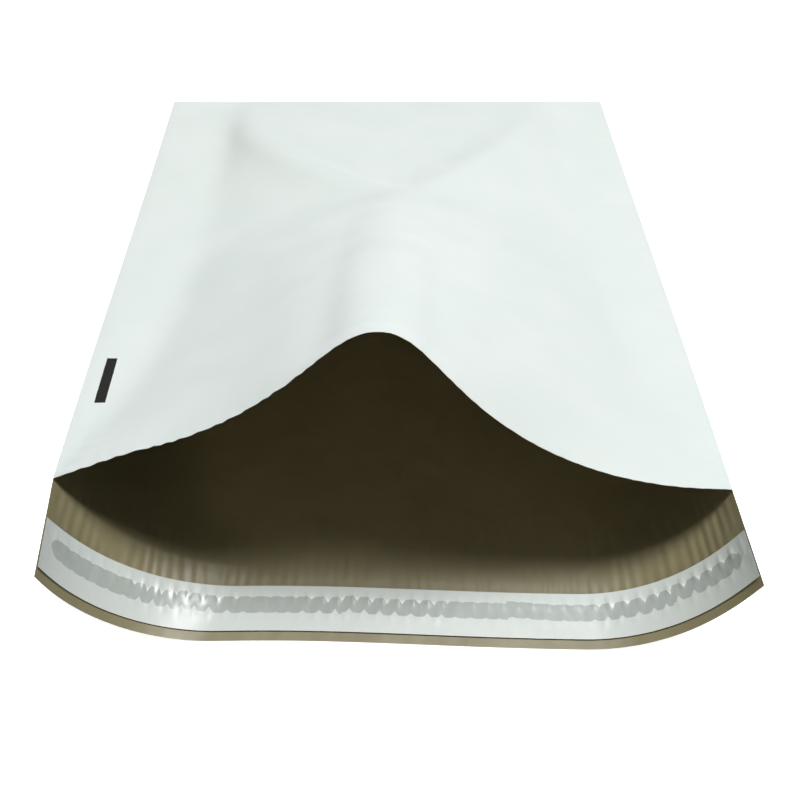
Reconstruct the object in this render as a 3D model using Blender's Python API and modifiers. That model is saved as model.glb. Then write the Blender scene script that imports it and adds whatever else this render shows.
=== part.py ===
"""Poly mailer bag, lying on its back with its mouth standing open.

The real bag is one web of white film with a dark inside. It is folded once, at the closed end, and its
two sides are welded. The back ply runs on past the mouth as a flap, which carries a line of adhesive
under a release liner. Here the web is a flat grid that is laid on the surface that such a bag takes when
its mouth is lifted: the film bends but it doesn't stretch.

Frame: +Z is up, +Y points from the mouth to the closed end, +X is to the right as the mouth is looked
into. The origin is the bottom centre of the bounding box. Lengths are in metres.
"""

import bmesh
import bpy
import numpy as np

# Sizes of the flat bag
BAG_WIDTH = 0.3683
BAG_LENGTH = 0.4826
FILM_THICKNESS = 0.0000635
FLAP_LENGTH_LEFT = 0.0410
FLAP_LENGTH_RIGHT = 0.0460
FLAP_SWAY = 0.0032
CORNER_EXTRA_LEFT = 0.0108
CORNER_EXTRA_RIGHT = 0.0077
CORNER_REACH_LEFT = 0.090
CORNER_REACH_RIGHT = 0.040

# Liner and adhesive on the flap
LINER_WIDTH = 0.0254
LINER_THICKNESS = 0.00006
LINER_MARGIN = 0.0050
ADHESIVE_WIDTH = 0.0094
ADHESIVE_THICKNESS = 0.00015
ADHESIVE_FROM_LINER_EDGE = 0.0098
ADHESIVE_INSET_LEFT = 0.0065
ADHESIVE_INSET_RIGHT = 0.0060

# Print: the registration mark beside the left weld
MARK_WIDTH = 0.0057
MARK_LENGTH = 0.048
MARK_FROM_WELD = 0.0090
MARK_FROM_LIP = 0.0738

# Clearances between pieces that touch, and between the two plies at the welds and the fold
CLEARANCE = 0.0003

# The open mouth: how high each weld ends, and how far it is drawn in from the flat width
LIFT_LEFT = 0.0610
LIFT_RIGHT = 0.0515
DRAW_IN_LEFT = 0.0247
DRAW_IN_RIGHT = 0.0224
LIFT_POWER = 2.5
DRAW_IN_POWER = 2.8

# The flap's free corners
CORNER_LIFT_LEFT = 0.0568
CORNER_LIFT_RIGHT = 0.0514
CORNER_DRAW_IN_LEFT = 0.0278
CORNER_DRAW_IN_RIGHT = 0.0224

# The front lip: a rounded peak, with flanks that flatten towards the welds
PEAK_HEIGHT = 0.1368
PEAK_FROM_CENTRE = -0.0115
PEAK_ROUNDING = 0.0194
FLANK_REACH_LEFT = 0.094
FLANK_REACH_RIGHT = 0.177
FLANK_SLOPE_LEFT = 0.33
FLANK_SLOPE_RIGHT = 0.014

# The front ply's ridge: it runs back from the peak to a junction, and parts there into two arms
JUNCTION_HEIGHT = 0.032
JUNCTION_FROM_CENTRE = 0.0070
JUNCTION_FROM_FOLD = 0.200
JUNCTION_ROUNDING = 0.012
ARM_END_LEFT = 0.120
ARM_END_RIGHT = 0.130
ARM_BEND_LEFT = 2.05
ARM_BEND_RIGHT = 1.52
RIDGE_FLAT = 0.020
RIDGE_RAISE = 0.0040
RIDGE_SPREAD = 0.010

# Outside the ridge: flat margins beside the welds. Between the arms: a shallow dish
MARGIN_LEFT = 0.052
MARGIN_RIGHT = 0.045
MARGIN_POWER = 4
DISH = 0.003
CREASE_ROUNDING = 0.007

# Grid: columns run along the bag, rows run across it
COLUMNS = 42
ROWS = 32
SUBSTEPS = 4
SMALLEST = 0.000001

WHITE_FILM = ((0.82, 0.86, 0.84), 0.42)
DARK_FILM = ((0.17, 0.14, 0.10), 0.5)
PRINT_INK = ((0.01, 0.01, 0.01), 0.5)
LINER_FILM = ((0.80, 0.82, 0.82), 0.35)
HOT_MELT = ((0.55, 0.58, 0.57), 0.3)


def lip_height(across):
    """Height of the front lip: a straight run up from each weld plus a parabola that rises to the peak."""
    from_peak = across - PEAK_FROM_CENTRE
    run = np.sqrt(from_peak ** 2 + PEAK_ROUNDING ** 2) - PEAK_ROUNDING

    def flank(span, lift, slope, reach):
        full_run = np.sqrt(span ** 2 + PEAK_ROUNDING ** 2) - PEAK_ROUNDING
        rise = PEAK_HEIGHT - lift - slope * full_run
        return lift + slope * (full_run - run) + rise * np.clip(1 - run / reach, 0, 1) ** 2

    left = flank(BAG_WIDTH / 2 + PEAK_FROM_CENTRE, LIFT_LEFT, FLANK_SLOPE_LEFT, FLANK_REACH_LEFT)
    right = flank(BAG_WIDTH / 2 - PEAK_FROM_CENTRE, LIFT_RIGHT, FLANK_SLOPE_RIGHT, FLANK_REACH_RIGHT)
    return np.where(from_peak < 0, left, right)


def ridge_across(along, side):
    """Where the ridge runs: straight to the junction, then in an arm that bends out to the fold."""
    end, bend = (-ARM_END_LEFT, ARM_BEND_LEFT) if side < 0 else (ARM_END_RIGHT, ARM_BEND_RIGHT)
    on_arm = 1 - np.clip(along / JUNCTION_FROM_FOLD, 0, 1) ** bend
    on_stem = np.clip((along - JUNCTION_FROM_FOLD) / (BAG_LENGTH - JUNCTION_FROM_FOLD), 0, 1)
    stem = JUNCTION_FROM_CENTRE + (PEAK_FROM_CENTRE - JUNCTION_FROM_CENTRE) * on_stem
    return stem + (end - JUNCTION_FROM_CENTRE) * on_arm


def ridge_height(along):
    """The arms climb from the fold at one slope and the stem at another, with a rounded bend."""
    arm_slope = JUNCTION_HEIGHT / JUNCTION_FROM_FOLD
    extra = (PEAK_HEIGHT - arm_slope * BAG_LENGTH) / (BAG_LENGTH - JUNCTION_FROM_FOLD)
    bend = np.logaddexp(0, (along - JUNCTION_FROM_FOLD) / JUNCTION_ROUNDING) * JUNCTION_ROUNDING
    return arm_slope * along + extra * bend


def tent_height(across, along):
    """Height of the front ply with sharp creases.

    From the ridge's flat top the film slopes down to where the flat margin starts. The slope is straight,
    and turns into the lip's own profile at the lip. The film dips between the arms, and the ridge bulges up.
    """
    part_way = np.clip(along, 0, BAG_LENGTH) / BAG_LENGTH
    ridge = ridge_height(along)
    on_arm = np.clip(along / JUNCTION_FROM_FOLD, 0, 1)
    flat_top = RIDGE_FLAT * on_arm * (1 - part_way ** 8)
    lip_share = part_way ** 6
    height = 0
    arms = []
    for side, lift, margin in ((-1, LIFT_LEFT, MARGIN_LEFT), (1, LIFT_RIGHT, MARGIN_RIGHT)):
        crest = ridge_across(along, side)
        margin_edge = side * (BAG_WIDTH / 2 - margin * (1 - part_way ** MARGIN_POWER))
        down_to_margin = side * (margin_edge - crest) - flat_top
        share = np.clip((side * (across - crest) - flat_top) / down_to_margin, 0, 1)
        span = BAG_WIDTH / 2 - side * PEAK_FROM_CENTRE
        of_lip = (lip_height(PEAK_FROM_CENTRE + side * share * span) - lift) / (PEAK_HEIGHT - lift)
        at_margin = lift * part_way ** LIFT_POWER
        flank = at_margin + (ridge - at_margin) * (lip_share * of_lip + (1 - lip_share) * (1 - share))
        height = height + np.where(side * (across - crest) >= 0, flank, 0)
        arms.append(crest)
    between = np.clip((across - arms[0]) / np.maximum(arms[1] - arms[0], SMALLEST), 0, 1)
    dish = DISH * 4 * between * (1 - between) * 27 / 4 * on_arm ** 2 * (1 - on_arm)
    inside = (across > arms[0]) & (across < arms[1])
    from_crest = np.minimum(np.abs(across - arms[0]), np.abs(across - arms[1]))
    fade = np.clip(4 * part_way, 0, 1) * np.clip(4 * (1 - part_way), 0, 1)
    bulge = RIDGE_RAISE * fade * np.exp(-(from_crest / RIDGE_SPREAD) ** 2 / 2)
    return np.where(inside, ridge - dish, height) + bulge


def front_height(across, along):
    """The tent with its creases rounded: each point takes the weighted mean over a small patch.

    The patch shrinks to nothing at the border, which keeps its exact height.
    """
    to_side = BAG_WIDTH / 2 - np.abs(across)
    to_end = np.minimum(along, BAG_LENGTH - along)
    reach = np.minimum(CREASE_ROUNDING, np.minimum(to_side, to_end) / 2)
    offsets = np.linspace(-2, 2, 7)
    weights = np.exp(-offsets ** 2 / 2)
    total = 0
    for offset_across, weight_across in zip(offsets, weights):
        for offset_along, weight_along in zip(offsets, weights):
            patch = tent_height(across + reach * offset_across, along + reach * offset_along)
            total = total + weight_across * weight_along * patch
    return total / weights.sum() ** 2


def in_substeps(lines):
    """The same lines with SUBSTEPS steps between neighbours, for adding up lengths along the film."""
    steps = np.linspace(0, len(lines) - 1, (len(lines) - 1) * SUBSTEPS + 1)
    return np.interp(steps, np.arange(len(lines)), lines)


def run_left_over(step, *used):
    """What is left of a step along the film once its known components are taken out."""
    left = step ** 2 - sum(part ** 2 for part in used)
    return np.sqrt(np.maximum(left, (step / 8) ** 2))


def lengthwise(across_positions, heights, steps):
    """Y of each point: every column keeps its length, from the fold at BAG_LENGTH towards the mouth."""
    run = run_left_over(steps, np.diff(heights, axis=0), np.diff(across_positions, axis=0))
    start = np.full((1, heights.shape[1]), BAG_LENGTH)
    return np.concatenate([start, BAG_LENGTH - np.cumsum(run, axis=0)])


def front_points(columns, rows):
    """Points of the front ply, from the fold to the lip, on the given lines of the flat web."""
    across, along = np.meshgrid(in_substeps(columns), in_substeps(rows))
    heights = front_height(across, along)
    part_way = (along[:, :1] / BAG_LENGTH) ** DRAW_IN_POWER
    left = -BAG_WIDTH / 2 + DRAW_IN_LEFT * part_way
    right = BAG_WIDTH / 2 - DRAW_IN_RIGHT * part_way
    run = run_left_over(np.diff(across, axis=1), np.diff(heights, axis=1))
    run = run * (right - left) / run.sum(axis=1, keepdims=True)
    positions = np.concatenate([left, left + np.cumsum(run, axis=1)], axis=1)
    distances = lengthwise(positions, heights, np.diff(along, axis=0))
    return np.stack([positions, distances, heights], axis=2)[::SUBSTEPS, ::SUBSTEPS]


def curl(lift, draw_in, from_edge):
    """One side of the back ply: flat film that curls up on a circular arc to its edge.

    The arc's angle follows from draw_in / lift, and its radius from the lift, so the film keeps its width.
    Returns how far each point lies in from where the flat edge would be, and its height.
    """
    angles = np.linspace(0.001, 3.0, 3000)
    ratios = (angles - np.sin(angles)) / (1 - np.cos(angles))
    lift = np.maximum(lift, SMALLEST)
    angle = np.interp(draw_in / lift, ratios, angles)
    radius = lift / (1 - np.cos(angle))
    arc = radius * angle
    turned = np.clip((arc - from_edge) / radius, 0, None)
    inward = np.where(from_edge < arc, arc - radius * np.sin(turned), from_edge)
    return inward, radius * (1 - np.cos(turned))


def flap_length_at(across):
    """Length of the flap: a taper from left to right, a shallow sway, and longer corners."""
    right_share = across / BAG_WIDTH + 0.5
    taper = FLAP_LENGTH_LEFT + (FLAP_LENGTH_RIGHT - FLAP_LENGTH_LEFT) * right_share
    sway = FLAP_SWAY * np.sin(2 * np.pi * across / BAG_WIDTH)
    left_corner = CORNER_EXTRA_LEFT * np.exp(-(across + BAG_WIDTH / 2) / CORNER_REACH_LEFT)
    right_corner = CORNER_EXTRA_RIGHT * np.exp(-(BAG_WIDTH / 2 - across) / CORNER_REACH_RIGHT)
    return taper + sway + left_corner + right_corner


def back_points(columns, rows, flap_rows):
    """Points of the back ply and the flap, from the fold to the flap's free edge.

    A flap row is a pair: 0 or 1 times the flap's length, less a distance. The mouth is (0, 0), the free
    edge is (1, 0), and (1, d) is the line that runs d inside the free edge.
    """
    zeros = np.zeros(len(rows))
    along = in_substeps(np.concatenate([rows, np.full(len(flap_rows), BAG_LENGTH)]))[:, None]
    whole = in_substeps(np.concatenate([zeros, [row[0] for row in flap_rows]]))[:, None]
    less = in_substeps(np.concatenate([zeros, [row[1] for row in flap_rows]]))[:, None]
    across = in_substeps(columns)[None, :]
    flap_length = flap_length_at(across)
    on_flap = whole * flap_length - less

    def side(lift, corner_lift, draw_in, corner_draw_in, flap_share, from_edge):
        part_way = along / BAG_LENGTH
        lifts = lift * part_way ** LIFT_POWER + (corner_lift - lift) * flap_share
        draws = draw_in * part_way ** DRAW_IN_POWER + (corner_draw_in - draw_in) * flap_share
        return curl(lifts, draws, from_edge)

    left_in, left_height = side(LIFT_LEFT, CORNER_LIFT_LEFT, DRAW_IN_LEFT, CORNER_DRAW_IN_LEFT,
                                on_flap[:, :1] / flap_length[:, :1], across + BAG_WIDTH / 2)
    right_in, right_height = side(LIFT_RIGHT, CORNER_LIFT_RIGHT, DRAW_IN_RIGHT, CORNER_DRAW_IN_RIGHT,
                                  on_flap[:, -1:] / flap_length[:, -1:], BAG_WIDTH / 2 - across)
    positions = np.where(across < 0, left_in - BAG_WIDTH / 2, BAG_WIDTH / 2 - right_in)
    heights = np.where(across < 0, left_height, right_height)
    distances = lengthwise(positions, heights, np.diff(along + on_flap, axis=0))
    return np.stack([positions, distances, heights], axis=2)[::SUBSTEPS, ::SUBSTEPS]


def upward_normals(points):
    """Unit normals of a grid of points, on the side that faces up."""
    down_rows = np.gradient(points, axis=0)
    along_columns = np.gradient(points, axis=1)
    normals = np.cross(along_columns, down_rows)
    normals = normals / np.linalg.norm(normals, axis=2, keepdims=True)
    return normals * np.sign(normals[..., 2:].mean())


def material(name, look):
    """A Principled material from a colour and a roughness."""
    colour, roughness = look
    made = bpy.data.materials.new(name)
    made.use_nodes = True
    shader = made.node_tree.nodes["Principled BSDF"]
    shader.inputs["Base Color"].default_value = (*colour, 1)
    shader.inputs["Roughness"].default_value = roughness
    shader.inputs["Metallic"].default_value = 0
    return made


def sheet(name, points, collection):
    """A flat grid primitive with each of its vertices moved to its point."""
    rows, columns = points.shape[:2]
    bpy.ops.mesh.primitive_grid_add(x_subdivisions=columns - 1, y_subdivisions=rows - 1, size=2)
    made = bpy.context.object
    made.name = name
    made.data.name = name
    flat = np.empty(rows * columns * 3)
    made.data.vertices.foreach_get("co", flat)
    flat = flat.reshape(-1, 3)
    column = np.rint((flat[:, 0] + 1) / 2 * (columns - 1)).astype(int)
    row = np.rint((flat[:, 1] + 1) / 2 * (rows - 1)).astype(int)
    made.data.vertices.foreach_set("co", points[row, column].ravel())
    made.data.update()
    for other in made.users_collection:
        other.objects.unlink(made)
    collection.objects.link(made)
    return made


def thicken(made, thickness, side, inner_material=0):
    """Give an open surface its thickness, on the side its normals point to (1) or away from (-1)."""
    wall = made.modifiers.new("wall", "SOLIDIFY")
    wall.thickness = thickness
    wall.offset = side
    wall.use_even_offset = True
    wall.material_offset = inner_material
    return wall


def weld_sides(made, row_count, column_count):
    """Close both sides of the folded web with a narrow strip of faces from the front ply to the back."""
    edit = bmesh.new()
    edit.from_mesh(made.data)
    edit.verts.ensure_lookup_table()
    for column in (0, column_count - 1):
        for row in range(row_count - 1):
            front = [(row_count - 1 - step) * column_count + column for step in (row, row + 1)]
            back = [(row_count + step) * column_count + column for step in (row, row + 1)]
            corners = [edit.verts[index] for index in (front[0], front[1], back[1], back[0])]
            edit.faces.new(corners if column else reversed(corners))
    edit.to_mesh(made.data)
    edit.free()


def film_bag(front, back, mark_columns, mark_rows, collection):
    """The folded and welded web with its flap, one closed shell."""
    ply_gap = np.array([0, 0, 2 * FILM_THICKNESS + CLEARANCE])
    web = np.concatenate([front[::-1] + ply_gap, back])
    made = sheet("film_bag", web, collection)
    row_count, column_count = front.shape[:2]
    weld_sides(made, row_count, column_count)
    for name, look in (("white_film", WHITE_FILM), ("print_ink", PRINT_INK), ("dark_film", DARK_FILM)):
        made.data.materials.append(material(name, look))
    for face in made.data.polygons:
        indices = np.array(face.vertices)
        rows, columns = row_count - 1 - indices // column_count, indices % column_count
        in_mark = (np.isin(rows, mark_rows) & np.isin(columns, mark_columns)).all()
        face.material_index = 1 if in_mark else 0
    thicken(made, FILM_THICKNESS, -1, inner_material=2)
    made.data.shade_smooth()
    return made


def flap_strip(name, points, above_film, thickness, look, collection):
    """A thin strip that follows a stretch of the flap at the given height above the table side."""
    made = sheet(name, points + upward_normals(points) * above_film, collection)
    made.data.materials.append(material(name, look))
    thicken(made, thickness, 1)
    made.data.shade_smooth()
    return made


def grid_lines(start, end, count, features):
    """Evenly spaced lines with the feature lines added, and the even ones beside those left out."""
    even = np.linspace(start, end, count + 1)
    room = (end - start) / count / 4
    clear = np.abs(even[:, None] - np.array(features)[None, :]).min(axis=1) > room
    clear[[0, -1]] = True
    return np.sort(np.concatenate([even[clear], features]))


def build():
    """Lay out the web, then make the bag, the adhesive and the liner from it."""
    for old in list(bpy.data.objects):
        bpy.data.objects.remove(old, do_unlink=True)
    collection = bpy.data.collections.new("poly_mailer_bag")
    bpy.context.scene.collection.children.link(collection)

    mark_left = -BAG_WIDTH / 2 + MARK_FROM_WELD
    mark_across = [mark_left, mark_left + MARK_WIDTH]
    mark_end = BAG_LENGTH - MARK_FROM_LIP
    mark_along = [mark_end - MARK_LENGTH, mark_end]
    adhesive_ends = [-BAG_WIDTH / 2 + ADHESIVE_INSET_LEFT, BAG_WIDTH / 2 - ADHESIVE_INSET_RIGHT]
    columns = grid_lines(-BAG_WIDTH / 2, BAG_WIDTH / 2, COLUMNS, mark_across + adhesive_ends)
    rows = grid_lines(0, BAG_LENGTH, ROWS, mark_along)

    adhesive_low = LINER_MARGIN + ADHESIVE_FROM_LINER_EDGE
    flap_rows = [(1, LINER_MARGIN + LINER_WIDTH), (1, adhesive_low + ADHESIVE_WIDTH),
                 (1, adhesive_low), (1, LINER_MARGIN), (1, 0)]
    front = front_points(columns, rows)
    back = back_points(columns, rows, flap_rows)
    to_centre = np.array([0, -(back[..., 1].min() + BAG_LENGTH) / 2, 0])
    front = front + to_centre
    back = back + to_centre

    mark_columns = np.searchsorted(columns, mark_across)
    mark_columns = np.arange(mark_columns[0], mark_columns[1] + 1)
    mark_rows = np.searchsorted(rows, mark_along)
    mark_rows = np.arange(mark_rows[0], mark_rows[1] + 1)
    film_bag(front, back, mark_columns, mark_rows, collection)

    flap = back[len(rows):]
    ends = np.searchsorted(columns, adhesive_ends)
    on_film = FILM_THICKNESS + CLEARANCE
    flap_strip("adhesive_strip", flap[1:3, ends[0]:ends[1] + 1], on_film, ADHESIVE_THICKNESS,
               HOT_MELT, collection)
    flap_strip("release_liner", flap[0:4], on_film + ADHESIVE_THICKNESS + CLEARANCE,
               LINER_THICKNESS, LINER_FILM, collection)


build()
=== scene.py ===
# %% [markdown]
# # A poly mailer bag with its mouth standing open
#
# The real object is one web of plastic film, white outside and dark inside. It is folded once at the
# closed end, welded along both sides, and cut so that the back ply runs on past the mouth as a flap. On the
# flap lie a line of adhesive and the liner that covers it. Film bends but hardly stretches, so each surface
# here is the flat web laid out in space by a formula, and the fine puckers are small heights added to it.

# %% Load the packed model as a fixed frame
import bpy
import numpy as np
from mathutils import Matrix, Vector


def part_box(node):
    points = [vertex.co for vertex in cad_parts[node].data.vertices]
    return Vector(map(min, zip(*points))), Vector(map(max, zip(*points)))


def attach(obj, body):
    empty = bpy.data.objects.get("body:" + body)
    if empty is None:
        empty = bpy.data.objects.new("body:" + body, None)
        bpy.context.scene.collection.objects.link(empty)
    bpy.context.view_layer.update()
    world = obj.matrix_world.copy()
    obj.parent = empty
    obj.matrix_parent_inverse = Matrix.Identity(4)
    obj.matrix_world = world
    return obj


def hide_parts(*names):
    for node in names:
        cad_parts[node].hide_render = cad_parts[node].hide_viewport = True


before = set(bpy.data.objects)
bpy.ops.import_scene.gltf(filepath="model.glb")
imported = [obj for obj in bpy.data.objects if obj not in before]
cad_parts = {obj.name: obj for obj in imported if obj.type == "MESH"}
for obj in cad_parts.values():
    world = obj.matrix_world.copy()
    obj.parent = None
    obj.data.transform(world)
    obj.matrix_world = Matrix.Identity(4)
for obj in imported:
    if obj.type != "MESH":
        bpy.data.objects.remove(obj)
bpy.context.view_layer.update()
film_low, film_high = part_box("film_bag")

# %% [markdown]
# ## Camera
#
# The photo was taken from in front of the mouth, looking down at 45 degrees. The camera's place and its
# focal length are those at which a straight web of this size falls on the photo's four corners.

# %% Camera
PHOTO_SIZE = 800
FOCAL_PIXELS = 960.2
SENSOR = 36.0
CAMERA_PLACE = Vector((-0.0044, -0.5023, 0.4058))
LOOK_DOWN, LOOK_ASIDE, LEAN = np.radians([45.07, -1.31, 0.61])


def camera_axes():
    """Right, forward and up: the level axes, turned aside, tilted down by LOOK_DOWN, then leant by LEAN."""
    tilt = np.array([[1, 0, 0], [0, np.cos(LOOK_DOWN), -np.sin(LOOK_DOWN)],
                     [0, np.sin(LOOK_DOWN), np.cos(LOOK_DOWN)]])
    turn = np.array([[np.cos(LOOK_ASIDE), np.sin(LOOK_ASIDE), 0],
                     [-np.sin(LOOK_ASIDE), np.cos(LOOK_ASIDE), 0], [0, 0, 1]])
    right, forward, up = tilt @ turn
    leant_right = np.cos(LEAN) * right + np.sin(LEAN) * up
    leant_up = np.cos(LEAN) * up - np.sin(LEAN) * right
    return leant_right, forward, leant_up


camera_data = bpy.data.cameras.new("camera")
camera_data.sensor_width = SENSOR
camera_data.lens = FOCAL_PIXELS / PHOTO_SIZE * SENSOR
camera = bpy.data.objects.new("camera", camera_data)
bpy.context.scene.collection.objects.link(camera)
right, forward, up = camera_axes()
camera.matrix_world = Matrix.Translation(CAMERA_PLACE) @ Matrix(np.stack([right, up, -forward], 1)).to_4x4()
bpy.context.scene.camera = camera
print("lens:", round(camera_data.lens, 1), "mm")

# %% [markdown]
# ## The flat web
#
# All the lengths of the flat bag. The print-out gives what the frame says for two sizes of the open bag:
# the film's widest stretch and the height of its peak. The closed end is where the frame puts it.

# %% Sizes of the flat web
BAG_WIDTH = 0.3683
BAG_LENGTH = 0.4826
FILM_THICKNESS = 0.0000635
PLY_GAP = 0.0003 + 2 * FILM_THICKNESS
HALF = BAG_WIDTH / 2
CLOSED_END = film_high.y
TO_FRAME = CLOSED_END - BAG_LENGTH
print("film box width", round(film_high.x - film_low.x, 4), "peak", round(film_high.z, 4))

# %% [markdown]
# ## Height of the front ply
#
# Lifting the middle of the lip makes a tent. A ridge runs back from the lip's peak to a junction, and parts
# there into two arms that bend out towards the fold. Outside the ridges the film slopes down to flat margins
# beside the welds, and between the arms it hangs in a shallow dish. The creases are then rounded by a
# weighted mean over a small patch.

# %% The lip and the welds
LIFT_LEFT, LIFT_RIGHT, LIFT_POWER = 0.0610, 0.0515, 2.5
DRAW_IN_LEFT, DRAW_IN_RIGHT, DRAW_IN_POWER = 0.0247, 0.0224, 2.8
PEAK_HEIGHT, PEAK_FROM_CENTRE, PEAK_ROUNDING = 0.1368, -0.0115, 0.0194
FLANK_REACH_LEFT, FLANK_REACH_RIGHT = 0.094, 0.177
FLANK_SLOPE_LEFT, FLANK_SLOPE_RIGHT = 0.33, 0.014


def lip_height(across):
    """Straight run from each weld plus a parabola, both along r = sqrt(x^2 + rounding^2) - rounding."""
    from_peak = across - PEAK_FROM_CENTRE
    run = np.sqrt(from_peak ** 2 + PEAK_ROUNDING ** 2) - PEAK_ROUNDING

    def flank(span, lift, slope, reach):
        full_run = np.sqrt(span ** 2 + PEAK_ROUNDING ** 2) - PEAK_ROUNDING
        rise = PEAK_HEIGHT - lift - slope * full_run
        return lift + slope * (full_run - run) + rise * np.clip(1 - run / reach, 0, 1) ** 2

    left = flank(HALF + PEAK_FROM_CENTRE, LIFT_LEFT, FLANK_SLOPE_LEFT, FLANK_REACH_LEFT)
    right_side = flank(HALF - PEAK_FROM_CENTRE, LIFT_RIGHT, FLANK_SLOPE_RIGHT, FLANK_REACH_RIGHT)
    return np.where(from_peak < 0, left, right_side)


print("lip at left, peak, right:", lip_height(np.array([-HALF, PEAK_FROM_CENTRE, HALF])).round(4))

# %% The ridge and its two arms
JUNCTION_HEIGHT, JUNCTION_FROM_CENTRE, JUNCTION_FROM_FOLD, JUNCTION_ROUNDING = 0.032, 0.0070, 0.200, 0.012
ARM_END_LEFT, ARM_BEND_LEFT = 0.120, 2.05
ARM_END_RIGHT, ARM_BEND_RIGHT = 0.130, 1.52
MARGIN_LEFT, MARGIN_RIGHT, MARGIN_POWER = 0.052, 0.045, 4
RIDGE_FLAT, RIDGE_RAISE, RIDGE_SPREAD = 0.020, 0.0040, 0.010
FLAT_TOP_POWER, LIP_SHARE_POWER = 8, 6
DISH, DISH_SCALE = 0.003, 27 / 4
CREASE_ROUNDING = 0.007
SMALLEST = 1e-6


def ridge_across(along, side):
    """A straight stem to the junction. Beyond it an arm bends out by 1 - (along / junction) ^ bend."""
    end, bend = (-ARM_END_LEFT, ARM_BEND_LEFT) if side < 0 else (ARM_END_RIGHT, ARM_BEND_RIGHT)
    on_arm = 1 - np.clip(along / JUNCTION_FROM_FOLD, 0, 1) ** bend
    on_stem = np.clip((along - JUNCTION_FROM_FOLD) / (BAG_LENGTH - JUNCTION_FROM_FOLD), 0, 1)
    stem = JUNCTION_FROM_CENTRE + (PEAK_FROM_CENTRE - JUNCTION_FROM_CENTRE) * on_stem
    return stem + (end - JUNCTION_FROM_CENTRE) * on_arm


def ridge_height(along):
    """One slope on the arms, another on the stem: a line plus the softplus ln(1 + e^u) at the junction."""
    arm_slope = JUNCTION_HEIGHT / JUNCTION_FROM_FOLD
    extra = (PEAK_HEIGHT - arm_slope * BAG_LENGTH) / (BAG_LENGTH - JUNCTION_FROM_FOLD)
    bend = np.logaddexp(0, (along - JUNCTION_FROM_FOLD) / JUNCTION_ROUNDING) * JUNCTION_ROUNDING
    return arm_slope * along + extra * bend


def tent_height(across, along):
    """Height with sharp creases.

    Outside the ridges: margin + (ridge - margin) * G(w), where w runs from 0 at the ridge's flat top to 1
    where the flat margin starts. G is a straight line that turns into the lip's profile near the lip.
    Between the arms: a dish, 4 q (1 - q) deep from arm to arm, and a^2 (1 - a) along them, whose largest
    value is 4 / 27. The ridges stand up by a Gaussian bulge.
    """
    part_way = np.clip(along, 0, BAG_LENGTH) / BAG_LENGTH
    ridge = ridge_height(along)
    on_arm = np.clip(along / JUNCTION_FROM_FOLD, 0, 1)
    flat_top = RIDGE_FLAT * on_arm * (1 - part_way ** FLAT_TOP_POWER)
    lip_share = part_way ** LIP_SHARE_POWER
    height = 0
    arms = []
    for side, lift, margin in ((-1, LIFT_LEFT, MARGIN_LEFT), (1, LIFT_RIGHT, MARGIN_RIGHT)):
        crest = ridge_across(along, side)
        margin_edge = side * (HALF - margin * (1 - part_way ** MARGIN_POWER))
        down_to_margin = side * (margin_edge - crest) - flat_top
        share = np.clip((side * (across - crest) - flat_top) / down_to_margin, 0, 1)
        span = HALF - side * PEAK_FROM_CENTRE
        of_lip = (lip_height(PEAK_FROM_CENTRE + side * share * span) - lift) / (PEAK_HEIGHT - lift)
        at_margin = lift * part_way ** LIFT_POWER
        flank = at_margin + (ridge - at_margin) * (lip_share * of_lip + (1 - lip_share) * (1 - share))
        height = height + np.where(side * (across - crest) >= 0, flank, 0)
        arms.append(crest)
    between = np.clip((across - arms[0]) / np.maximum(arms[1] - arms[0], SMALLEST), 0, 1)
    dish = DISH * 4 * between * (1 - between) * DISH_SCALE * on_arm ** 2 * (1 - on_arm)
    inside = (across > arms[0]) & (across < arms[1])
    from_crest = np.minimum(np.abs(across - arms[0]), np.abs(across - arms[1]))
    fade = np.clip(4 * part_way, 0, 1) * np.clip(4 * (1 - part_way), 0, 1)
    bulge = RIDGE_RAISE * fade * np.exp(-(from_crest / RIDGE_SPREAD) ** 2 / 2)
    return np.where(inside, ridge - dish, height) + bulge


def front_height(across, along):
    """Gaussian mean of the tent over a patch that shrinks to nothing at the border."""
    to_side = HALF - np.abs(across)
    to_end = np.minimum(along, BAG_LENGTH - along)
    reach = np.minimum(CREASE_ROUNDING, np.minimum(to_side, to_end) / 2)
    offsets = np.linspace(-2, 2, 7)
    weights = np.exp(-offsets ** 2 / 2)
    total = 0
    for offset_across, weight_across in zip(offsets, weights):
        for offset_along, weight_along in zip(offsets, weights):
            patch = tent_height(across + reach * offset_across, along + reach * offset_along)
            total = total + weight_across * weight_along * patch
    return total / weights.sum() ** 2


junction = front_height(np.array([JUNCTION_FROM_CENTRE]), np.array([JUNCTION_FROM_FOLD]))
print("height at the junction:", junction.round(4))

# %% [markdown]
# ## Laying the web out
#
# Heights alone would stretch the film. So each step along the film keeps its length: what a step climbs and
# what it moves sideways is taken off the distance that it covers towards the mouth. The back ply lies flat,
# and its sides curl up on circular arcs to meet the welds.

# %% The front ply in space
def run_left_over(step, *used):
    """What is left of a step along the film: sqrt(step^2 - used^2 - ...), never under an eighth of it."""
    left = step ** 2 - sum(part ** 2 for part in used)
    return np.sqrt(np.maximum(left, (step / 8) ** 2))


def lengthwise(positions, heights, steps):
    """Distance towards the mouth: every column keeps its length from the fold on."""
    run = run_left_over(steps, np.diff(heights, axis=0), np.diff(positions, axis=0))
    start = np.full((1, heights.shape[1]), BAG_LENGTH)
    return np.concatenate([start, BAG_LENGTH - np.cumsum(run, axis=0)])


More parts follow.
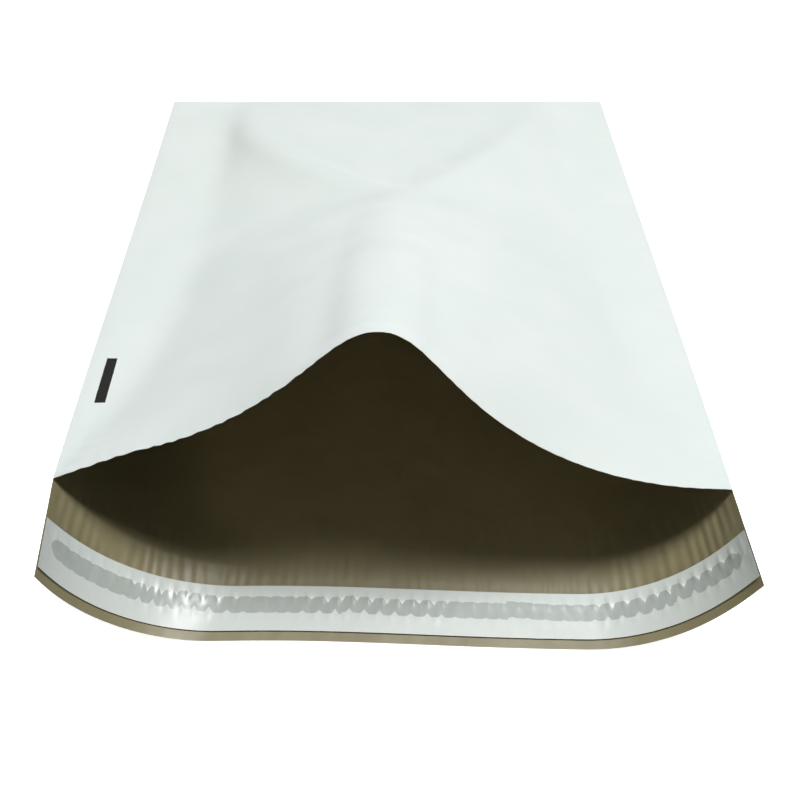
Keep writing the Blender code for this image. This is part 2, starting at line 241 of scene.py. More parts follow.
def front_points(columns, rows):
    """Points of the front ply: columns share out the width between the drawn-in welds by their length."""
    across, along = np.meshgrid(columns, rows)
    heights = front_height(across, along)
    part_way = (along[:, :1] / BAG_LENGTH) ** DRAW_IN_POWER
    left = DRAW_IN_LEFT * part_way - HALF
    right_side = HALF - DRAW_IN_RIGHT * part_way
    run = run_left_over(np.diff(across, axis=1), np.diff(heights, axis=1))
    run = run * (right_side - left) / run.sum(axis=1, keepdims=True)
    positions = np.concatenate([left, left + np.cumsum(run, axis=1)], axis=1)
    distances = lengthwise(positions, heights, np.diff(along, axis=0))
    return np.stack([positions, distances + TO_FRAME, heights], axis=2)


print("a 5 mm step that climbs 3 mm covers", round(float(run_left_over(0.005, 0.003)), 4))

# %% The back ply and the flap in space
FLAP_LENGTH_LEFT, FLAP_LENGTH_RIGHT, FLAP_SWAY = 0.0410, 0.0460, 0.0032
CORNER_EXTRA_LEFT, CORNER_EXTRA_RIGHT = 0.0108, 0.0077
CORNER_REACH_LEFT, CORNER_REACH_RIGHT = 0.090, 0.040
CORNER_LIFT_LEFT, CORNER_LIFT_RIGHT = 0.0568, 0.0514
CORNER_DRAW_IN_LEFT, CORNER_DRAW_IN_RIGHT = 0.0278, 0.0224


def curl(lift, draw_in, from_edge):
    """A side that curls up on an arc: its angle t solves (t - sin t) / (1 - cos t) = draw_in / lift."""
    angles = np.linspace(0.001, 3.0, 3000)
    ratios = (angles - np.sin(angles)) / (1 - np.cos(angles))
    lift = np.maximum(lift, SMALLEST)
    angle = np.interp(draw_in / lift, ratios, angles)
    radius = lift / (1 - np.cos(angle))
    arc = radius * angle
    turned = np.clip((arc - from_edge) / radius, 0, None)
    inward = np.where(from_edge < arc, arc - radius * np.sin(turned), from_edge)
    return inward, radius * (1 - np.cos(turned))


def flap_length(across):
    """A taper from left to right, one shallow sine wave, and corners that run on by exp(-d / reach)."""
    taper = FLAP_LENGTH_LEFT + (FLAP_LENGTH_RIGHT - FLAP_LENGTH_LEFT) * (across / BAG_WIDTH + 0.5)
    sway = FLAP_SWAY * np.sin(2 * np.pi * across / BAG_WIDTH)
    left_corner = CORNER_EXTRA_LEFT * np.exp(-(across + HALF) / CORNER_REACH_LEFT)
    right_corner = CORNER_EXTRA_RIGHT * np.exp(-(HALF - across) / CORNER_REACH_RIGHT)
    return taper + sway + left_corner + right_corner


def back_points(columns, along, on_flap):
    """Points of the back ply and the flap. on_flap is each row's distance past the mouth, per column."""
    across = columns[None, :]
    lengths = flap_length(across)

    def side(lift, corner_lift, draw_in, corner_draw_in, share, from_edge):
        part_way = along[:, None] / BAG_LENGTH
        lifts = lift * part_way ** LIFT_POWER + (corner_lift - lift) * share
        draws = draw_in * part_way ** DRAW_IN_POWER + (corner_draw_in - draw_in) * share
        return curl(lifts, draws, from_edge)

    left_in, left_height = side(LIFT_LEFT, CORNER_LIFT_LEFT, DRAW_IN_LEFT, CORNER_DRAW_IN_LEFT,
                                on_flap[:, :1] / lengths[:, :1], across + HALF)
    right_in, right_height = side(LIFT_RIGHT, CORNER_LIFT_RIGHT, DRAW_IN_RIGHT, CORNER_DRAW_IN_RIGHT,
                                  on_flap[:, -1:] / lengths[:, -1:], HALF - across)
    positions = np.where(across < 0, left_in - HALF, HALF - right_in)
    heights = np.where(across < 0, left_height, right_height)
    distances = lengthwise(positions, heights, np.diff(along[:, None] + on_flap, axis=0))
    return np.stack([positions, distances + TO_FRAME, heights], axis=2)


print("flap at left, middle, right:", flap_length(np.array([-HALF, 0, HALF])).round(4))

# %% [markdown]
# ## Fine relief
#
# Thin film is never smooth. The side welds shrink as they cool and gather the film beside them into small
# puckers, a cut edge ripples, and the whole sheet is faintly wavy from being wound and folded. Each of these
# is a height along the surface's normal. The waves are sums of sines with seeded directions, so that the
# sheet comes out the same each time.

# %% Relief helpers
def waves(across, along, length, count, seed):
    """Sum of sines of about the given wavelength, in all directions, scaled to lie within about 1."""
    dice = np.random.default_rng(seed)
    total = 0
    for _ in range(count):
        heading, phase = dice.uniform(0, 2 * np.pi, 2)
        pitch = length * dice.uniform(0.7, 1.5)
        distance = across * np.cos(heading) + along * np.sin(heading)
        total = total + np.sin(2 * np.pi * distance / pitch + phase)
    return total / np.sqrt(2 * count)


def gathers(position, pitch, wander, seed):
    """Rounded ridges from 0 to 1 along a line, whose spacing wanders by the given share of the pitch."""
    dice = np.random.default_rng(seed)
    phase = sum(np.sin(2 * np.pi * position / (pitch * stretch) + dice.uniform(0, 2 * np.pi))
                for stretch in (3.1, 5.3, 8.9))
    return 0.5 + 0.5 * np.sin(2 * np.pi * position / pitch + wander * phase)


def smooth_step(value, low, high):
    """0 below low, 1 above high, and 3t^2 - 2t^3 between."""
    share = np.clip((value - low) / (high - low), 0, 1)
    return share * share * (3 - 2 * share)


print("a smooth step in quarters:", smooth_step(np.linspace(0, 1, 5), 0, 1).round(3))

# %% Relief of the front ply, of the back ply and of the flap
SHEET_WAVE, SHEET_WAVE_LENGTH = 0.00022, 0.045
LEFT_GROOVE = {"from_stem": -0.030, "spread": 0.0115, "depth": 0.0034, "start": 0.150}
RIGHT_GROOVE = {"from_stem": 0.031, "spread": 0.0075, "depth": 0.0024, "start": 0.120}
GROOVE_FULL_FROM_LIP, GROOVE_LIP_FADE = 0.05, 0.02
PUCKER_HEIGHT, PUCKER_PITCH, PUCKER_REACH = 0.0004, 0.0105, 0.005
RIPPLE_HEIGHT, RIPPLE_PITCH, RIPPLE_REACH, RIPPLE_QUIET_SHARE = 0.0006, 0.0085, 0.012, 0.35
LINER_WIDTH, LINER_MARGIN = 0.0254, 0.0050
GATHER_HEIGHT, GATHER_PITCH, GATHER_REACH, GATHER_PAST_LIP = 0.0004, 0.0116, 0.014, 0.004


def groove(across, along, from_stem, spread, depth, start):
    """A valley beside the stem, Gaussian in cross-section. It deepens from its start and ends at the lip."""
    off_middle = across - ridge_across(along, 0) - from_stem
    deepens = smooth_step(along, start, BAG_LENGTH - GROOVE_FULL_FROM_LIP)
    deepens = deepens * smooth_step(BAG_LENGTH - along, 0, GROOVE_LIP_FADE)
    return -depth * deepens * np.exp(-(off_middle / spread) ** 2 / 2)


def front_relief(across, along):
    """Sheet waves, puckers (d / r) * exp(1 - d / r) beside the welds, ripples at the lip, and grooves."""
    from_weld = HALF - np.abs(across)
    from_lip = BAG_LENGTH - along
    side_shift = np.where(across < 0, 0.0, 0.37)
    pucker = gathers(along + side_shift, PUCKER_PITCH, wander=0.9, seed=3)
    pucker = pucker * from_weld / PUCKER_REACH * np.exp(1 - from_weld / PUCKER_REACH)
    louder_left = RIPPLE_QUIET_SHARE + (1 - RIPPLE_QUIET_SHARE) * smooth_step(-across, 0.02, 0.06)
    ripple = gathers(across, RIPPLE_PITCH, wander=0.8, seed=5) * np.exp(-from_lip / RIPPLE_REACH)
    ripple = ripple * louder_left * smooth_step(from_weld, 0, 0.02)
    slow = waves(across, along, SHEET_WAVE_LENGTH, count=14, seed=11)
    slow = slow * smooth_step(from_weld, 0, 0.03) * smooth_step(along, 0, 0.04)
    grooves = groove(across, along, **LEFT_GROOVE) + groove(across, along, **RIGHT_GROOVE)
    return SHEET_WAVE * slow + PUCKER_HEIGHT * pucker + RIPPLE_HEIGHT * ripple + grooves


def back_relief(across, beyond_mouth):
    """Upward gathers that the liner's tension pulls into the film just behind it, and none under it."""
    near = np.exp(-np.abs(beyond_mouth - GATHER_PAST_LIP) / GATHER_REACH)
    to_liner = flap_length(across) - LINER_MARGIN - LINER_WIDTH - beyond_mouth
    lift = GATHER_HEIGHT * gathers(across, GATHER_PITCH, wander=0.7, seed=7) * near
    return lift * smooth_step(to_liner, 0.001, 0.007) * smooth_step(HALF - np.abs(across), 0, 0.015)


stem = np.linspace(JUNCTION_FROM_FOLD, BAG_LENGTH, 50)
print("deepest in the left groove:",
      groove(ridge_across(stem, 0) + LEFT_GROOVE["from_stem"], stem, **LEFT_GROOVE).min().round(4))

# %% [markdown]
# ## From grids to meshes
#
# A grid of points becomes a mesh with one quad for each cell. Its columns stand closer together beside the
# welds and its rows beside the lip, where the small relief is. The film's own coordinates go into a UV map,
# so that its finish can follow the sheet.

# %% Mesh helpers
def grid_quads(row_count, column_count):
    """Corner indices of every cell of a grid, as one array."""
    index = np.arange(row_count * column_count).reshape(row_count, column_count)
    return np.stack([index[:-1, :-1], index[1:, :-1], index[1:, 1:], index[:-1, 1:]], axis=2).reshape(-1, 4)


def upward_normals(points):
    """Unit normals of a grid, on the side that faces up."""
    normals = np.cross(np.gradient(points, axis=1), np.gradient(points, axis=0))
    normals = normals / np.linalg.norm(normals, axis=2, keepdims=True)
    return normals * np.sign(normals[..., 2:].mean())


def new_piece(name, points, faces, film_coordinates):
    """A mesh object from points, quads, and each point's place on the flat film in metres."""
    mesh = bpy.data.meshes.new(name)
    mesh.from_pydata(points.reshape(-1, 3), [], faces)
    corners = np.empty(len(mesh.loops), dtype=np.int32)
    mesh.loops.foreach_get("vertex_index", corners)
    mesh.uv_layers.new(name="film")
    mesh.uv_layers["film"].data.foreach_set("uv", film_coordinates.reshape(-1, 2)[corners].ravel())
    piece = bpy.data.objects.new(name, mesh)
    bpy.context.scene.collection.objects.link(piece)
    return piece


def give_thickness(piece, thickness, side, inner_offset=0, sharp=50):
    """Solidify the sheet, keep the result as its mesh, and shade it smooth up to its cut edges."""
    wall = piece.modifiers.new("wall", "SOLIDIFY")
    wall.thickness, wall.offset, wall.use_even_offset = thickness, side, True
    wall.material_offset = inner_offset
    evaluated = piece.evaluated_get(bpy.context.evaluated_depsgraph_get())
    flat_mesh, piece.data = piece.data, bpy.data.meshes.new_from_object(evaluated)
    piece.modifiers.clear()
    bpy.data.meshes.remove(flat_mesh)
    piece.data.shade_smooth()
    piece.data.set_sharp_from_angle(angle=np.radians(sharp))
    print(piece.name, "triangles:", 2 * len(piece.data.polygons))


def graded(start, end, coarse, fine, fine_reach, at_start, at_end):
    """Lines from start to end, fine apart within fine_reach of the chosen ends and coarse elsewhere."""
    low = start + fine_reach * at_start
    high = end - fine_reach * at_end
    lines = []
    for first, last, step in ((start, low, fine), (low, high, coarse), (high, end, fine)):
        if last > first:
            count = max(1, round((last - first) / step))
            lines.append(np.linspace(first, last, count, endpoint=False))
    return np.append(np.concatenate(lines), end)


print("quads in a grid of 3 by 4 points:", len(grid_quads(3, 4)))

# %% [markdown]
# ## The film
#
# The web is one sheet: the front ply from the lip to the fold, then the back ply from the fold to the flap's
# free edge. The printed mark's edges are lines of the grid, so its outline stays crisp. Faces between the
# two plies close the welds, and Solidify gives the film its real thickness with the dark side inwards.

# %% The web as one sheet
MARK_FROM_WELD, MARK_WIDTH, MARK_FROM_LIP, MARK_LENGTH = 0.0090, 0.0057, 0.0738, 0.048
WHITE, INK, DARK = range(3)
mark_across = np.array([MARK_FROM_WELD, MARK_FROM_WELD + MARK_WIDTH]) - HALF
mark_along = BAG_LENGTH - MARK_FROM_LIP - np.array([MARK_LENGTH, 0])
FLAP_ROWS = 30


def with_lines(lines, extra):
    """The lines with the extra ones put in, and near neighbours of those left out."""
    spacing = np.abs(lines[:, None] - extra[None, :]).min(axis=1)
    keep = spacing > np.diff(lines).min() / 2
    return np.sort(np.concatenate([lines[keep], extra]))


columns = with_lines(graded(-HALF, HALF, coarse=0.0032, fine=0.0021, fine_reach=0.030,
                            at_start=True, at_end=True), mark_across)
rows = with_lines(graded(0, BAG_LENGTH, coarse=0.0037, fine=0.0017, fine_reach=0.040,
                         at_start=False, at_end=True), mark_along)
flap_shares = np.linspace(0, 1, FLAP_ROWS + 1)[1:]
across_grid, along_grid = np.meshgrid(columns, rows)

front = front_points(columns, rows)
front = front + upward_normals(front) * front_relief(across_grid, along_grid)[..., None]
front = front + np.array([0, 0, PLY_GAP])

back_along = np.concatenate([rows, np.full(len(flap_shares), BAG_LENGTH)])
on_flap = np.concatenate([np.zeros(len(rows)), flap_shares])[:, None] * flap_length(columns)[None, :]
beyond_mouth = back_along[:, None] - BAG_LENGTH + on_flap
back = back_points(columns, back_along, on_flap)
back = back + upward_normals(back) * back_relief(columns[None, :], beyond_mouth)[..., None]
print("front grid", front.shape, "back grid", back.shape)

# %% The film as a closed shell
web = np.concatenate([front[::-1], back])
web_along = np.concatenate([along_grid[::-1], -(back_along[:, None] + on_flap)])
web_film = np.stack([np.broadcast_to(columns, web_along.shape), web_along], axis=2)
quads = grid_quads(*web.shape[:2])[:, ::-1]


def weld_faces(column):
    """Quads that join the front ply's edge to the back ply's edge in one column."""
    row = np.arange(len(rows) - 1)
    front_index = (len(rows) - 1 - row) * len(columns) + column
    back_index = (len(rows) + row) * len(columns) + column
    loop = [front_index, front_index - len(columns), back_index + len(columns), back_index]
    return np.stack(loop if column else loop[::-1], axis=1)


faces = np.concatenate([quads, weld_faces(0), weld_faces(len(columns) - 1)])
film = new_piece("mailer_film", web, faces, web_film)
film_centre = web_film.reshape(-1, 2)[faces].mean(axis=1)
in_mark = ((film_centre[:, 0] > mark_across[0]) & (film_centre[:, 0] < mark_across[1])
           & (film_centre[:, 1] > mark_along[0]) & (film_centre[:, 1] < mark_along[1]))
film.data.polygons.foreach_set("material_index", np.where(in_mark, INK, WHITE).astype(np.int32))
print("faces in the mark:", int(in_mark.sum()))

# %% [markdown]
# ## The adhesive and its liner
#
# Both are strips that follow the flap. The adhesive is a low bead. The liner lies on it, and because film
# and liner shrink by different amounts it is gathered into small tucks where it is stuck down.

# %% Strips on the flap
LINER_THICKNESS = 0.00006
ADHESIVE_WIDTH, ADHESIVE_FROM_LINER_EDGE, ADHESIVE_THICKNESS = 0.0094, 0.0098, 0.00015
ADHESIVE_INSET, ADHESIVE_CROWN = 0.0065, 0.00004
CLEARANCE = 0.0003
ON_FILM = FILM_THICKNESS + CLEARANCE
ON_ADHESIVE = ON_FILM + ADHESIVE_THICKNESS + CLEARANCE
PLY_ROWS, LEAD_IN_ROWS = 120, 12
ADHESIVE_COLUMNS, ADHESIVE_ROWS = 240, 12


def flap_strip(strip_columns, inside_edge, above_film, relief):
    """Points of a strip on the flap: rows at fixed distances inside its free edge, raised off the film."""
    lengths = flap_length(strip_columns)[None, :]
    on_rows = lengths - inside_edge[:, None]
    lead_in = np.linspace(0, 1, LEAD_IN_ROWS, endpoint=False)[:, None] * on_rows[:1]
    on_all = np.concatenate([lead_in, on_rows])
    start_rows = np.linspace(0, BAG_LENGTH, PLY_ROWS, endpoint=False)
    along = np.concatenate([start_rows, np.full(len(on_all), BAG_LENGTH)])
    on_whole = np.concatenate([np.zeros((len(start_rows), len(strip_columns))), on_all])
    surface = back_points(strip_columns, along, on_whole)
    lift = back_relief(strip_columns[None, :], along[:, None] - BAG_LENGTH + on_whole) + above_film
    surface = surface + upward_normals(surface) * lift[..., None]
    strip = surface[-len(inside_edge):]
    return strip + upward_normals(strip) * relief[..., None]


def new_strip(name, strip_columns, strip_rows, above_film, relief):
    """A mesh object for a strip on the flap, from its lines and its own relief."""
    points = flap_strip(strip_columns, strip_rows, above_film, relief)
    film_coordinates = np.stack(np.meshgrid(strip_columns, strip_rows), axis=2)
    return new_piece(name, points, grid_quads(len(strip_rows), len(strip_columns)), film_coordinates)


adhesive_edge = LINER_MARGIN + ADHESIVE_FROM_LINER_EDGE
adhesive_columns = np.linspace(ADHESIVE_INSET - HALF, HALF - ADHESIVE_INSET, ADHESIVE_COLUMNS)
adhesive_rows = np.linspace(adhesive_edge + ADHESIVE_WIDTH, adhesive_edge, ADHESIVE_ROWS)
crown = ADHESIVE_CROWN * np.sin(np.pi * np.linspace(0, 1, ADHESIVE_ROWS))
crown = crown[:, None] * np.ones((1, ADHESIVE_COLUMNS))
adhesive = new_strip("adhesive_bead", adhesive_columns, adhesive_rows, ON_FILM, crown)
print("adhesive length", round(BAG_WIDTH - 2 * ADHESIVE_INSET, 4), "width", ADHESIVE_WIDTH)

# %% The liner
TUCK_HEIGHT, TUCK_PITCH, TUCK_REACH = 0.0005, 0.0074, 0.0034
TUCK_QUIET_SHARE, LOWER_TUCK_SHARE = 0.4, 0.4
TUCKED, TUCKED_BLEND = ((-0.134, -0.078), (-0.045, 0.024), (0.100, 0.176)), 0.008
LINER_COLUMNS, LINER_ROWS = 461, 35
liner_columns = np.linspace(-HALF, HALF, LINER_COLUMNS)
liner_rows = np.linspace(LINER_MARGIN + LINER_WIDTH, LINER_MARGIN, LINER_ROWS)


def liner_relief(across, inside):
    """Tucks at both edges of the band, Gaussian in cross-section, and higher on the tucked stretches."""
    from_middle = inside - adhesive_edge - ADHESIVE_WIDTH / 2
    upper = np.exp(-((from_middle - ADHESIVE_WIDTH / 2) / TUCK_REACH) ** 2)
    lower = np.exp(-((from_middle + ADHESIVE_WIDTH / 2) / TUCK_REACH) ** 2)
    tuck = gathers(across, TUCK_PITCH, wander=0.0, seed=21) ** 3
    other = gathers(across + TUCK_PITCH / 2, TUCK_PITCH, wander=0.0, seed=21) ** 3
    strength = TUCK_QUIET_SHARE
    for start, end in TUCKED:
        rise = smooth_step(across, start - TUCKED_BLEND, start + TUCKED_BLEND)
        fall = 1 - smooth_step(across, end - TUCKED_BLEND, end + TUCKED_BLEND)
        strength = strength + (1 - TUCK_QUIET_SHARE) * rise * fall
    return TUCK_HEIGHT * strength * (tuck * upper + LOWER_TUCK_SHARE * other * lower)


tucks = liner_relief(*np.meshgrid(liner_columns, liner_rows))
liner = new_strip("peel_off_liner", liner_columns, liner_rows, ON_ADHESIVE, tucks)
print("liner width", LINER_WIDTH, "length", BAG_WIDTH)

# %% [markdown]
# ## Shader maths in plain Python
#
# A finish is a small program of nodes. This class wraps a socket, so that adding, scaling and comparing
# values reads as it does on paper, and one method makes every other node.

# %% A socket that does arithmetic
class Signal:
    """An output socket of a node tree, with the operators that the finishes below use."""

    def __init__(self, tree, socket):
        self.tree, self.socket = tree, socket

    def node(self, kind, settings, inputs, output=0):
        """Make a node, apply its settings, then set or link its inputs, and return one output."""
        made = self.tree.nodes.new(kind)
        for name, value in settings.items():
            if name == "stops":
                ramp = made.color_ramp.elements
                ramp[0].position, ramp[0].color = value[0]
                ramp[1].position, ramp[1].color = value[-1]
                for position, colour in value[1:-1]:
                    ramp.new(position).color = colour
            else:
                setattr(made, name, value)
        for name, value in inputs.items():
            if isinstance(value, Signal):
                self.tree.links.new(value.socket, made.inputs[name])
            else:
                made.inputs[name].default_value = value
        return Signal(self.tree, made.outputs[output])

    def maths(self, operation, *values):
        """A Math node on these values, each a number or a signal."""
        return self.node("ShaderNodeMath", {"operation": operation}, dict(enumerate(values)))

    def __add__(self, other):
        return self.maths("ADD", self, other)

    def __mul__(self, other):
        return self.maths("MULTIPLY", self, other)

    def __sub__(self, other):
        return self.maths("SUBTRACT", self, other)

    def __rsub__(self, other):
        return self.maths("SUBTRACT", other, self)

    def __truediv__(self, other):
        return self.maths("DIVIDE", self, other)

    __radd__, __rmul__ = __add__, __mul__

    def ramp(self, low, high):
        """0 below low and 1 above high, smooth between."""
        settings = {"interpolation_type": "SMOOTHSTEP"}
        return self.node("ShaderNodeMapRange", settings, {0: self, 1: low, 2: high})

    def mixed(self, first, second):
        """A colour between two, with this value as the share of the second."""
        return self.node("ShaderNodeMix", {"data_type": "RGBA"}, {0: self, 6: first, 7: second}, 2)


print("operators:", [name for name in vars(Signal) if name.startswith("__r")])

# %% Starting a finish
def new_finish(name, roughness):
    """A material, its Principled shader, and signals for object coordinates and the film's own."""
    made = bpy.data.materials.new(name)
    made.use_nodes = True
    shader = made.node_tree.nodes["Principled BSDF"]
    shader.inputs["Roughness"].default_value = roughness
    start = Signal(made.node_tree, None)
    place = start.node("ShaderNodeTexCoord", {}, {}, "Object")
    film_place = start.node("ShaderNodeUVMap", {"uv_map": "film"}, {})
    return made, shader, place, film_place


def noise(place, scale, detail=2.0, stretch=(1, 1, 1)):
    """Soft noise from 0 to 1, with lumps of about 1 / scale metres, drawn out by the stretch."""
    moved = place.node("ShaderNodeMapping", {}, {"Vector": place, "Scale": stretch})
    return place.node("ShaderNodeTexNoise", {}, {"Vector": moved, "Scale": scale, "Detail": detail})


def film_axes(film_place):
    """Signals for the place across the film and the place along it, in metres."""
    across = film_place.node("ShaderNodeSeparateXYZ", {}, {0: film_place}, "X")
    return across, Signal(across.tree, across.socket.node.outputs["Y"])


def feed(shader, name, signal):
    """Link a signal to one of the Principled shader's inputs."""
    signal.tree.links.new(signal.socket, shader.inputs[name])


def relief_from(height, depth, under=None):
    """A Bump node: a height signal, depth metres high at 1, as a normal on top of the one under it."""
    inputs = {"Height": height, "Distance": depth, "Strength": 1.0}
    if under is not None:
        inputs["Normal"] = under
    return height.node("ShaderNodeBump", {}, inputs)


print("UV maps of the film, read by its finishes:", film.data.uv_layers.keys())

# %% [markdown]
# ## Finishes of the film
#
# The white side is slightly glossy and a little greenish, with a faint unevenness in the pigment and fine
# streaks along the web from the die that it was drawn through. The inner side holds a brown-grey pigment.
# Fine pleats run from just inside the mouth to the liner, which pulls at the film. The mark is flat black
# ink.

# %% White film, ink and dark film
WHITE_COLOUR, WHITE_SHADE = (0.82, 0.885, 0.865, 1), (0.79, 0.865, 0.84, 1)
DARK_COLOUR, DARK_SHADE = (0.262, 0.236, 0.137, 1), (0.236, 0.211, 0.120, 1)
INK_COLOUR, INK_SHADE = (0.004, 0.004, 0.003, 1), (0.009, 0.008, 0.006, 1)
FILM_INDEX = 1.5
FINE_RELIEF, STREAK_STRETCH = 0.000015, 60
PLEAT_PITCH, PLEAT_SHARE, PLEAT_WANDER, CRINKLE_SHARE = 0.0057, 0.09, 12, 0.4


def pleats(film_place):
    """A sine wave across the film whose phase wanders, in patches between the mouth and the liner."""
    across, along = film_axes(film_place)
    past_lip = along * -1 - BAG_LENGTH
    phase = across * (2 * np.pi / PLEAT_PITCH)
    phase = phase + PLEAT_WANDER * noise(film_place, 30.0, detail=1.0, stretch=(1, 0.4, 1))
    patches = noise(film_place, 45.0, detail=0.0).ramp(0.25, 0.65)
    by_liner = past_lip.ramp(-0.040, 0.010) * (1 - past_lip.ramp(0.024, 0.036))
    return phase.maths("SINE", phase) * patches * by_liner


def film_finish(name, light, shade, roughness, crinkle):
    """Film with cloudy pigment and uneven gloss. Its relief is streaks, grain, pleats and crinkles."""
    made, shader, place, film_place = new_finish(name, roughness)
    cloud = noise(place, 22.0, detail=3.0)
    feed(shader, "Base Color", cloud.ramp(0.3, 0.7).mixed(light, shade))
    feed(shader, "Roughness", roughness - 0.05 + 0.1 * noise(place, 60.0))
    streaks = noise(film_place, 9.0, stretch=(STREAK_STRETCH, 1, 1))
    grain = noise(place, 900.0)
    fine = relief_from(0.6 * streaks + 0.4 * grain, FINE_RELIEF)
    crinkles = noise(film_place, 90.0, detail=1.0, stretch=(1, 0.6, 1))
    folds = PLEAT_SHARE * pleats(film_place) + CRINKLE_SHARE * crinkles
    feed(shader, "Normal", relief_from(folds, crinkle, fine))
    shader.inputs["IOR"].default_value = FILM_INDEX
    return made


white_film = film_finish("white_film", WHITE_COLOUR, WHITE_SHADE, roughness=0.34, crinkle=0.00015)
dark_film = film_finish("dark_film", DARK_COLOUR, DARK_SHADE, roughness=0.45, crinkle=0.0016)
ink, ink_shader, ink_place, _ = new_finish("print_ink", 0.5)
feed(ink_shader, "Base Color", noise(ink_place, 400.0).ramp(0.3, 0.8).mixed(INK_COLOUR, INK_SHADE))
for finish in (white_film, ink, dark_film):
    film.data.materials.append(finish)
give_thickness(film, FILM_THICKNESS, -1, inner_offset=DARK)

# %% [markdown]
# ## Finishes of the liner and the adhesive
#
# The liner is a thin white release film. Where the adhesive wets it the light goes through and it looks
# grey, so the band's outline shows where the two are in touch: jagged, with painted highlights as pale
# flecks at the tucks.

# %% The liner's finish
LINER_COLOUR, WETTED_COLOUR = (0.64, 0.69, 0.67, 1), (0.425, 0.47, 0.45, 1)
# The fleck colour is a painted highlight: brighter than the liner's own colour, it stands in for light
# caught by the tucks.
PAINTED_GLINT_COLOUR, PAINTED_GLINT_REACH, PAINTED_GLINT_INSIDE = (0.93, 0.96, 0.95, 1), 0.0016, 0.0004
TOOTH_DEPTH, TOOTH_SHALLOW, TOOTH_BASE = 0.0025, 0.0006, 0.5
BAND_STEP, BAND_STEP_PITCH, BAND_STEP_START, BAND_STEP_RUN = 0.0011, 0.081, 0.32, 0.30
BAND_WANDER, TOOTH_WANDER = 0.0006, 0.012
BAND_EDGE, BAND_END_EDGE, BAND_END_BEND = 0.00015, 0.0006, 200
LINER_RELIEF = 0.00025


def teeth(across, shift):
    """Triangles from 0 to 1 at the tucks' pitch, with a flat stretch between them."""
    wave = across.maths("PINGPONG", across / TUCK_PITCH + shift, 0.5) * 2
    return wave.node("ShaderNodeMapRange", {}, {0: wave, 1: 1 - TOOTH_BASE, 2: 1.0})


def tucked_stretches(across):
    """1 on the stretches where the liner is tucked and 0 elsewhere."""
    total = 0
    for start, end in TUCKED:
        rise = across.ramp(start - TUCKED_BLEND, start + TUCKED_BLEND)
        total = rise * (1 - across.ramp(end - TUCKED_BLEND, end + TUCKED_BLEND)) + total
    return total


def liner_finish():
    """White film with a grey band. Teeth push both edges in, half a pitch apart, and carry painted
    highlights as pale flecks.
    """
    made, shader, _, film_place = new_finish("liner_film", 0.32)
    across, inside = film_axes(film_place)
    wander = noise(film_place, 26.0, detail=1.0, stretch=(1, 0, 0)) - 0.5
    since_step = across.maths("FRACT", across / BAND_STEP_PITCH + BAND_STEP_START)
    stepped = BAND_STEP * (1 - since_step.ramp(0, BAND_STEP_RUN)) + BAND_WANDER * wander
    upward = inside - (adhesive_edge + ADHESIVE_WIDTH / 2 + stepped)
    tucked = tucked_stretches(across)
    uneven = noise(film_place, 40.0, detail=1.0, stretch=(1, 0, 0)).ramp(0.25, 0.6)
    depth = TOOTH_DEPTH * tucked * uneven + TOOTH_SHALLOW
    shifted = across + TOOTH_WANDER * wander
    upper_teeth, lower_teeth = teeth(shifted, 0.0), teeth(shifted, 0.5)
    upper = ADHESIVE_WIDTH / 2 - depth * upper_teeth - upward
    lower = ADHESIVE_WIDTH / 2 - depth * lower_teeth + upward
    to_end = HALF - ADHESIVE_INSET - across.maths("ABSOLUTE", across) - BAND_END_BEND * upward * upward
    wetted = upper.ramp(-BAND_EDGE, BAND_EDGE) * lower.ramp(-BAND_EDGE, BAND_EDGE)
    wetted = wetted * to_end.ramp(-BAND_END_EDGE, BAND_END_EDGE)
    off_edge = (upper + PAINTED_GLINT_INSIDE).maths("ABSOLUTE", upper + PAINTED_GLINT_INSIDE)
    # Painted highlight: pale flecks on the upper teeth of the tucked stretches, which also clear the grey
    # band there.
    painted_glint = upper_teeth * upper_teeth * (1 - off_edge.ramp(0, PAINTED_GLINT_REACH)) * tucked
    cloud = noise(film_place, 210.0, detail=1.5, stretch=(1, 0.45, 1))
    grey = (0.8 * cloud + 0.6) * wetted * (1 - painted_glint)
    # The liner's own colour with the painted highlights mixed in.
    liner_with_painted_glints = painted_glint.mixed(LINER_COLOUR, PAINTED_GLINT_COLOUR)
    feed(shader, "Base Color", grey.mixed(liner_with_painted_glints, WETTED_COLOUR))
    feed(shader, "Roughness", 0.36 - 0.10 * wetted)
    feed(shader, "Normal", relief_from(noise(film_place, 110.0, stretch=(1, 0.6, 1)), LINER_RELIEF))
    return made


liner.data.materials.append(liner_finish())
give_thickness(liner, LINER_THICKNESS, 1)

# %% The adhesive's finish
ADHESIVE_COLOUR, ADHESIVE_SHADE = (0.50, 0.54, 0.53, 1), (0.60, 0.63, 0.62, 1)
ADHESIVE_RELIEF = 0.0001


def adhesive_finish():
    """Clear hot-melt with a cloudy tint and a wavy, wet-looking surface."""
    made, shader, _, film_place = new_finish("hot_melt", 0.18)
    feed(shader, "Base Color", noise(film_place, 150.0).mixed(ADHESIVE_COLOUR, ADHESIVE_SHADE))
    feed(shader, "Normal", relief_from(noise(film_place, 420.0, stretch=(1, 0.3, 1)), ADHESIVE_RELIEF))
    return made


adhesive.data.materials.append(adhesive_finish())
give_thickness(adhesive, ADHESIVE_THICKNESS, 1)

# %% Hand the pieces to the frame
for piece, node, slot in ((film, "film_bag", "film"), (adhesive, "adhesive_strip", "adhesive"),
                          (liner, "release_liner", "liner")):
    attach(piece, "root")
    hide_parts(node)
print("pieces:", [piece.name for piece in (film, adhesive, liner)])

# %% [markdown]
# ## Floor and light
#
# The photo's light comes from nearly overhead: the lip's shadow falls almost straight below it, with a soft
# edge. One softbox stands above, a wide and dim one stands low behind the bag for the sheen on the rising
# ridge, and a warm one in front reaches into the mouth. An even sky fills the shadows. The floor is white
# to the camera and keeps a faint shadow.

# %% Floor
FLOOR_HALF, FLOOR_DROP = 2.0, 0.0003
FLOOR_COLOUR, FLOOR_GLOW = (0.85, 0.85, 0.85, 1), 0.82


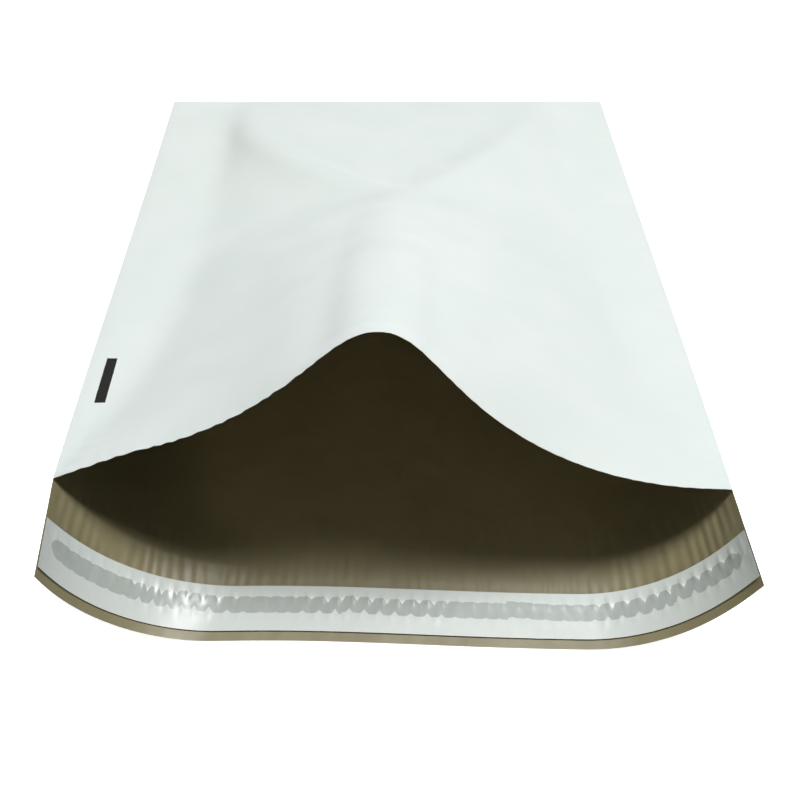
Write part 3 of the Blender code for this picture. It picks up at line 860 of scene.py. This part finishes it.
def lay_floor():
    """A square below the bag, diffuse white, with a glow for camera rays that lifts it to white."""
    corners = np.array([[-1, -1], [1, -1], [1, 1], [-1, 1]]) * FLOOR_HALF
    points = np.column_stack([corners, np.full(4, -FLOOR_DROP)])
    floor = new_piece("floor", points, [[0, 1, 2, 3]], corners)
    made, shader, place, _ = new_finish("floor_white", 0.8)
    shader.inputs["Base Color"].default_value = FLOOR_COLOUR
    shader.inputs["Specular IOR Level"].default_value = 0.0
    seen = place.node("ShaderNodeLightPath", {}, {}, "Is Camera Ray")
    shader.inputs["Emission Strength"].default_value = 1.0
    feed(shader, "Emission Color", seen.mixed((0, 0, 0, 1), (FLOOR_GLOW, FLOOR_GLOW, FLOOR_GLOW, 1)))
    floor.data.materials.append(made)


lay_floor()
print("floor at", -FLOOR_DROP)

# %% Lamps
BAG_MIDDLE = Vector((0, -0.02, 0.03))
OVERHEAD_TOWARDS = Vector((0.17, 0.145, 0.97)).normalized()
OVERHEAD_DISTANCE, OVERHEAD_SIZE, OVERHEAD_SHARE = 2.4, 0.8, 0.955
REAR = {"towards": (0.05, 0.975, 0.21), "distance": 2.2, "width": 3.0, "tall": 0.8, "radiance": 0.25}
FRONT = {"towards": (-0.10, -0.94, 0.33), "distance": 2.4, "width": 1.6, "tall": 0.7, "radiance": 2.9,
         "colour": (1.0, 0.86, 0.62)}


def softbox(name, towards, distance, width, tall, radiance, colour=(1, 1, 1)):
    """A rectangular lamp that faces the bag. Its power is pi * radiance * area."""
    direction = Vector(towards).normalized()
    data = bpy.data.lights.new(name, "AREA")
    data.shape, data.size, data.size_y = "RECTANGLE", width, tall
    data.energy = radiance * np.pi * width * tall
    data.color = colour
    made = bpy.data.objects.new(name, data)
    made.location = BAG_MIDDLE + direction * distance
    made.rotation_euler = direction.to_track_quat("Z", "Y").to_euler()
    bpy.context.scene.collection.objects.link(made)
    print(name, round(data.energy, 1), "W")


# A white level surface under the overhead lamp alone comes out at OVERHEAD_SHARE of full white
overhead_radiance = OVERHEAD_SHARE * np.pi * OVERHEAD_DISTANCE ** 2 / OVERHEAD_SIZE ** 2 / OVERHEAD_TOWARDS.z
softbox("overhead", OVERHEAD_TOWARDS, OVERHEAD_DISTANCE, OVERHEAD_SIZE, OVERHEAD_SIZE, overhead_radiance)
softbox("rear", **REAR)
softbox("front", **FRONT)

# %% Sky
SKY_SHARE = 0.09
world = bpy.data.worlds.new("sky")
bpy.context.scene.world = world
world.use_nodes = True
backdrop = world.node_tree.nodes["Background"]
sky = Signal(world.node_tree, None)
seen = sky.node("ShaderNodeLightPath", {}, {}, "Is Camera Ray")
brightness = SKY_SHARE + (1 - SKY_SHARE) * seen
world.node_tree.links.new(brightness.socket, backdrop.inputs["Strength"])
backdrop.inputs["Color"].default_value = (1, 1, 1, 1)
bpy.context.scene.view_settings.view_transform = "Standard"
print("sky share", SKY_SHARE)
